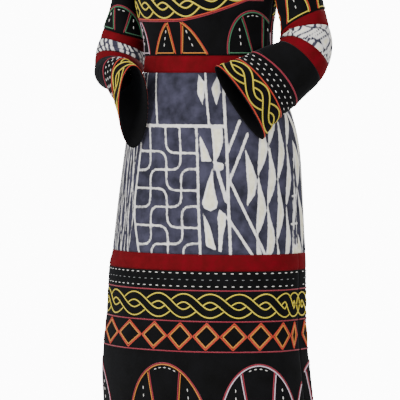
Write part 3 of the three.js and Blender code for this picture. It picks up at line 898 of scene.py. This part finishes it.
def body_chart(middle, bodice):
    """Flat (s, z), with s along the ring from the centre line, to the body's surface."""
    angles = middle + np.linspace(-100, 100, 401)
    if bodice:
        heights = np.linspace(-180, WAIST_TOP, 60)
        rows = np.interp(-heights, -NECK_TO_WAIST["side"], np.arange(len(NECK_TO_WAIST["side"])))
        surface, step, side = bodice_at, 0.01, 1
    else:
        heights = rows = np.linspace(WAIST_TOP, HEM, 120)
        surface, step, side = skirt_at, 1.0, -1
    numbers = np.arange(len(rows))
    ruler, table = ruled(arc_lengths(surface(angles, rows[:, None])), angles)

    def chart(flat):
        s, z = flat.T
        angle = look_up(table, numbers, ruler, np.interp(-z, -heights, numbers), s)
        return facing(surface, angle, np.interp(-z, -heights, rows), 0.2, step, side)

    return chart


def sleeve_chart(side_name, start, reference):
    """Flat (s, t): s round the sleeve from the underarm, t up from the place where it starts,
    which is the mouth or a seam. Lengths round it are those of the ring at the reference."""
    side = SLEEVES[side_name][1]
    around = np.linspace(0, 2 * np.pi, 181)
    places = np.linspace(start, 1, 161)

    def surface(turn, place):
        return creased_sleeve(side_name, turn, place)

    ruler, table = ruled(run_lengths(surface(around[:, None], places), 1), places)
    run = run_lengths(surface(around, reference))

    def chart(flat):
        s, t = flat.T
        s = s % run[-1]
        turn = np.interp(s if side > 0 else run[-1] - s, run, around)
        return facing(surface, turn, look_up(table, around, ruler, turn, t), 0.01, 0.01, side)

    return chart, run[-1]


# %% [markdown]
# ## Stitched lines
# A chain-stitched line is a half-round cord lying on the cloth. Its section is carried along the
# chart's path, broad and narrow by turns, one pair for each loop of the stitch.

# %% Yarn lines
SECTION = np.array([(-1, 0), (-0.66, 0.74), (0, 1), (0.66, 0.74), (1, 0), (0, -0.35)])


def points_at(path, at):
    """The points at given lengths along a flat path."""
    path = np.asarray(path, float)
    return np.stack([np.interp(at, run_lengths(path), path[:, i]) for i in (0, 1)], 1)


def resampled(path, step):
    """The path with points every step along it."""
    length = run_lengths(path)[-1]
    return points_at(path, np.linspace(0, length, max(2, int(round(length / step)) + 1)))


def stitch(name, chart, lines):
    """One mesh of many yarn lines. Each line is (yarn, path, width); its section is carried
    along the path, its sides alternately full and three quarters wide."""
    yarns = sorted({line[0] for line in lines})
    points, faces, shades, uvs = [], [], [], []
    k = len(SECTION)
    total = 0
    for yarn, path, width in lines:
        centre, normal = chart(resampled(path, STITCH_STEP))
        aside = np.cross(unit(np.gradient(centre, axis=0)), normal)
        count = len(centre)
        beat = np.where(np.arange(count) % 2 == 0, 1.0, 0.76)
        beat[[0, -1]] *= 0.6
        across = beat[:, None] * SECTION[:, 0] * width / 2
        above = (0.5 + 0.5 * beat[:, None]) * SECTION[:, 1] * YARN_HEIGHT
        ring = (centre[:, None] + aside[:, None] * across[..., None]
                + normal[:, None] * above[..., None])
        index = total + np.arange(count * k).reshape(count, k)
        beside = np.roll(index, -1, 1)
        quad = np.stack([index[:-1], beside[:-1], beside[1:], index[1:]], -1).reshape(-1, 4)
        faces += quad.tolist() + [index[0][::-1].tolist(), index[-1].tolist()]
        shades += [yarns.index(yarn)] * (len(quad) + 2)
        points.append(ring.reshape(-1, 3))
        along = np.repeat(np.arange(count) * STITCH_STEP, k)
        uvs.append(np.stack([along, np.tile(SECTION[:, 0], count)], 1))
        total += count * k
    piece = mesh_object(name, np.concatenate(points), faces, np.concatenate(uvs), shades=shades)
    for yarn in yarns:
        piece.data.materials.append(YARN[yarn])
    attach(piece, "root")
    print(name, "lines:", len(lines), "faces:", len(faces))


def dashes(path, pitch, length, yarn="white", width=3.0):
    """Running stitch: short dashes a pitch apart along a path."""
    starts = np.arange(pitch * 0.5, run_lengths(path)[-1] - length, pitch)
    return [(yarn, points_at(path, np.linspace(start, start + length, 4)), width)
            for start in starts]


# %% [markdown]
# ## The figures of the embroidery
# Three figures make up the borders. The guilloche is a twist of two bands, each outlined in
# yellow; at every crossing the band that falls to the right passes over. The diamonds are rhombs
# tip to tip. The arch holds two leaves with running stitch down their middles.

# %% Guilloche
SWING, BAND_HALF = 19, 10       # how far a band swings, and half its width
CAP = 15                        # how far a capped band goes past its last eye


def pieces_where(path, keep):
    """The stretches of a path whose points are kept."""
    breaks = np.flatnonzero(np.diff(keep.astype(int)) != 0) + 1
    runs = zip(np.split(path, breaks), np.split(keep, breaks))
    return [run for run, kept in runs if kept[0] and len(run) > 3]


def guilloche(eyes, middle, width, capped=False):
    """Two bands whose middles are plus and minus a cosine, greatest at each eye. Their outlines
    lie half a band to each side, and a rising band's outline stops where the other covers it.
    The middle's height is a number, or a function of the place along it."""
    eyes = np.asarray(eyes, float)
    number = np.arange(len(eyes))
    at = np.linspace(0, number[-1], int((eyes[-1] - eyes[0]) / 1.2))
    lines = []
    for sign in (1, -1):
        centre = np.stack([np.interp(at, number, eyes), sign * SWING * np.cos(np.pi * at)], 1)
        under = sign * np.sin(np.pi * at) < -0.02
        if capped:
            turn = np.linspace(0, np.pi / 2, 12)[1:]
            first, last = (np.stack([x + cap * np.sin(turn), z * np.cos(turn)], 1)
                           for (x, z), cap in ((centre[0], -CAP), (centre[-1], CAP)))
            centre = np.vstack([first[::-1], centre, last])
            under = np.pad(under, len(turn))
        ahead = unit(np.gradient(centre, axis=0))
        side = np.stack([-ahead[:, 1], ahead[:, 0]], 1)
        for half in (BAND_HALF, -BAND_HALF):
            edge = centre + half * side
            phase = np.pi * np.interp(edge[:, 0], eyes, number)
            slope = SWING * np.pi / np.mean(np.diff(eyes)) * np.abs(np.sin(phase))
            gap = np.abs(edge[:, 1] + sign * SWING * np.cos(phase)) * np.cos(np.arctan(slope))
            edge[:, 1] += middle(edge[:, 0]) if callable(middle) else middle
            kept = ~(under & (gap < BAND_HALF + 0.6))
            lines += [("yellow", run, width) for run in pieces_where(edge, kept)]
    return lines


# %% Diamonds and arches
def diamonds(tips, middle, half_height):
    """Rhombs from tip to tip, an orange outline inside a red one."""
    lines = []
    for left, right in zip(tips[:-1], tips[1:]):
        for yarn, inset in (("orange_red", 1.6), ("orange", 5.8)):
            w, h = (right - left) / 2 + 1 - inset * 1.35, half_height - inset * 1.35
            centre = (left + right) / 2
            lines.append((yarn, [(centre - w, middle), (centre, middle + h), (centre + w, middle),
                                 (centre, middle - h), (centre - w, middle)], 4.6))
    return lines


def arch(centre, base, half_width, height, outer, inner, pointed=False):
    """A round arch is half an ellipse and a pointed one a parabola. Two bars slant from the crown
    to the base and part off the leaves, whose feet are closed by a line; running stitch follows
    each leaf's middle and the crown."""
    t = np.linspace(-1, 1, 81)
    top, foot, lean = (0.24, 0.1, 0.34) if pointed else (0.36, 0.17, 0.52)
    top, foot = top * half_width, foot * half_width

    def bow(inset):
        across, up = (t, 1 - t * t) if pointed else (np.sin(t * np.pi / 2), np.cos(t * np.pi / 2))
        return np.stack([centre + (half_width - inset) * across, base + (height - inset) * up], 1)

    lines = [(outer, bow(1.8), 3.8), (inner, bow(5.5), 3.6)]
    for side in (-1, 1):
        crown = np.interp(centre + side * top, *bow(6).T) - base
        bar, leaf_bar, leaf_foot, leaf_middle = (
            [(centre + side * x, base + z) for x, z in ends]
            for ends in (((foot, 1), (top, crown)), ((foot + 3.7, 4), (top + 3.7, crown - 6)),
                         ((foot + 4, 3.5), (half_width - 6.5, 3.5)),
                         ((0.56 * half_width, 0.13 * height), (lean * half_width, 0.74 * height))))
        lines += [(outer, bar, 3.6), (inner, leaf_bar, 3.4), (inner, leaf_foot, 3.4)]
        lines += dashes(leaf_middle, 19 if height > 150 else 17, 7.5)
    if not pointed:
        curve = bow(13)
        lines += dashes(curve[np.abs(curve[:, 0] - centre) < 0.3 * half_width], 14, 6.5)
    return lines


def trimmed(lines, inside):
    """Lines cut off where the function says that a point is outside."""
    kept = []
    for yarn, path, width in lines:
        path = resampled(path, 1.5)
        kept += [(yarn, run, width) for run in pieces_where(path, inside(*path.T))]
    return kept


# %% [markdown]
# ## The hem border
# From the red band down: three rows of running stitch, a crimson line, the guilloche, a second
# line, a row of diamonds, a third line, and tall arches that stand just above the hem.

# %% Embroider the hem border
# Running stitch: height, gap at the side seam, length of a dash, yarn and its width.
HEM_DASHES = [(-921, 6, 7.5, "white", 3.0), (-953, 10, 7.5, "white", 3.0),
              (-937, 14, 6.5, "grey", 2.4)]
HEM_LINES = (-963, -1038.5, -1112.5)
HEM_GUILLOCHE, HEM_DIAMONDS = -1000.5, -1075.5
ARCH_FOOT, ARCH_HEIGHT = -1341, 200
# Hand-set figures aren't even: they are widest a little to the wearer's right of the middle.
EYES = [-341, -300, -252, -191, -106, -26, 44, 112, 183, 250, 306, 336]
TIPS = [-352, -312, -256, -165, -75, 3, 72, 140, 207, 272, 328, 356]


def half_ring(z, side_gap):
    """Half the length of a front or back panel at a height, less a gap at the seam."""
    return run_lengths(skirt_at(np.linspace(0, 90, 91), z))[-1] - side_gap


def level(z, gap=2.0):
    """A level line across a panel, from side seam to side seam."""
    reach = half_ring(z, gap)
    return [(-reach, z), (reach, z)]


HEM_LEVELS = np.linspace(BAND_BOTTOM, HEM, 24)
HEM_REACH = np.array([half_ring(z, 5) for z in HEM_LEVELS])


def within_panel(s, z):
    """True where a point lies 5 mm or more inside the side seams."""
    return np.abs(s) < np.interp(-z, -HEM_LEVELS, HEM_REACH)


def beyond_arch(centre, half_width):
    """A test that is true 2 mm or more outside an arch of the row."""
    return lambda s, z: np.hypot((s - centre) / (half_width + 2),
                                 (z - ARCH_FOOT) / (ARCH_HEIGHT + 2)) > 1


def hem_figures(arch_row):
    """The rows of the border, and arches cut off at the seams and where the last one stands."""
    lines = []
    for z, gap, length, yarn, width in HEM_DASHES:
        lines += dashes(level(z, gap), 20, length, yarn, width)
    lines += [("crimson", level(z), 3.8) for z in HEM_LINES]
    lines += guilloche(EYES, HEM_GUILLOCHE, 4.1, capped=True) + diamonds(TIPS, HEM_DIAMONDS, 35)
    beside = None
    for centre, half_width, outer, inner in arch_row:
        figure = arch(centre, ARCH_FOOT, half_width, ARCH_HEIGHT, outer, inner)
        figure = trimmed(figure, within_panel)
        lines += trimmed(figure, beside) if beside else figure
        beside = beyond_arch(centre, half_width)
    return lines


# An arch that meets a side seam goes on over it, so the front's outer two are in both lists.
ARCH_ROWS = {"front": [(-322, 122, "crimson", "lilac"), (-6, 122, "crimson", "orange"),
                       (237, 112, "crimson", "lilac"), (440, 112, "crimson", "lilac")],
             "back": [(-316, 112, "crimson", "lilac"), (-80, 118, "crimson", "orange"),
                      (170, 120, "crimson", "orange"), (434, 122, "crimson", "lilac")]}
for half, middle in (("front", 0), ("back", 180)):
    stitch(f"hem_embroidery_{half}", body_chart(middle, False), hem_figures(ARCH_ROWS[half]))

# %% [markdown]
# ## The bodice
# The chest carries a guilloche between crimson and orange edges that rises towards the wearer's
# left, and the arches stand on the waist band.

# %% Embroider the bodice
def chest_front(s):
    """Height of the front band's middle: level, then rising to the wearer's left."""
    return -269 + 44 * np.clip(s / 170, 0, 1.1) ** 1.5 + 4 * smooth(-s, 60, 190)


def chest_back(s):
    """Height of the back band's middle: level."""
    return -262 + 0 * s


# Centre, half-width and height, outer and inner yarn, and whether the arch is pointed.
BODICE_ARCHES = [(-195, (84, 108), "crimson", "lilac", False),
                 (-8, (80, 88), "orange_red", "orange", True),
                 (201, (84, 108), "crimson", "green", False)]


def bodice_reach(middle):
    """Half the width of a bodice panel, less 6 mm, as a function of height."""
    places = np.linspace(2.6, 7, 45)
    reach = [run_lengths(bodice_at(middle + np.linspace(0, body_reach(place), 61), place))[-1] - 6
             for place in places]
    heights = -column(NECK_TO_WAIST, "side", places)
    return lambda z: np.interp(-z, heights, reach)


def bodice_figures(middle, chest):
    """The chest's band with its edge lines, and under it the arches, cut off at the band."""
    reach = bodice_reach(middle)
    eyes = np.arange(-238, 239, 68)
    s = np.linspace(eyes[0], eyes[-1], 80)
    lines = guilloche(eyes, chest, 4.8)
    for side in (-1, 1):
        for offset, yarn, width in ((33, "orange_red", 4.6), (37, "crimson", 3.2)):
            lines.append((yarn, np.stack([s, chest(s) + side * offset], 1), width))
    arches = []
    for centre, size, outer, inner, pointed in BODICE_ARCHES:
        arches += arch(centre, WAIST_TOP + 3, *size, outer, inner, pointed)
    lines += trimmed(arches, lambda s, z: z < chest(s) - 40)
    return trimmed(lines, lambda s, z: np.abs(s) < reach(z))


for half, middle, chest in (("front", 0, chest_front), ("back", 180, chest_back)):
    stitch(f"bodice_embroidery_{half}", body_chart(middle, True), bodice_figures(middle, chest))

# %% [markdown]
# ## The sleeves
# A pair of arches stands on each upper red band, front and back, and the cuff repeats the hem's
# rows: edge line, guilloche, a second line, running stitch and a crimson line.

# %% Embroider the sleeves
# Heights of the cuff's rows above the mouth; a row of dashes also has its shift.
CUFF = {"edge": 4, "guilloche": 37, "line": 70.5, "dashes": ((82, 0), (97, 9), (112, 0)),
        "top": 128}


def round_line(yarn, ring, t, width):
    """A line all the way round a sleeve, at a height above the chart's start."""
    return (yarn, [(0, t), (ring, t)], width)


def sleeve_figures(side_name, arch_turn, arch_size, band_foot, outer, inner):
    """The cuff's rows, then the arches and the band that lie above the upper red band."""
    chart, ring = sleeve_chart(side_name, MOUTH, 15.5)
    lines = guilloche(np.linspace(0, ring, int(round(ring / 70)) + 1), CUFF["guilloche"], 4.8)
    lines += [round_line("orange_red", ring, CUFF["edge"], 4.6),
              round_line("orange_red", ring, CUFF["line"], 4.6),
              round_line("crimson", ring, CUFF["top"], 5.2)]
    for t, shift in CUFF["dashes"]:
        lines += dashes([(shift, t), (ring + shift, t)], 19, 7)
    stitch(f"cuff_embroidery_{side_name}", chart, lines)
    chart, ring = sleeve_chart(side_name, 6, 5.5)
    lines = []
    for turn in (arch_turn, arch_turn + 180):
        fraction = turn / 360 if SLEEVES[side_name][1] > 0 else 1 - turn / 360
        lines += arch(fraction * ring, 4, *arch_size, outer, inner)
    lines += guilloche(np.linspace(0, ring, 7), band_foot + 36, 4.6)
    lines += [round_line("orange_red", ring, band_foot + up, 4.6) for up in (0, 72)]
    stitch(f"sleeve_embroidery_{side_name}", chart, lines)


sleeve_figures("left", 60, (84, 108), 122, "orange_red", "yellow")
sleeve_figures("right", 75, (66, 68), 116, "crimson", "green")
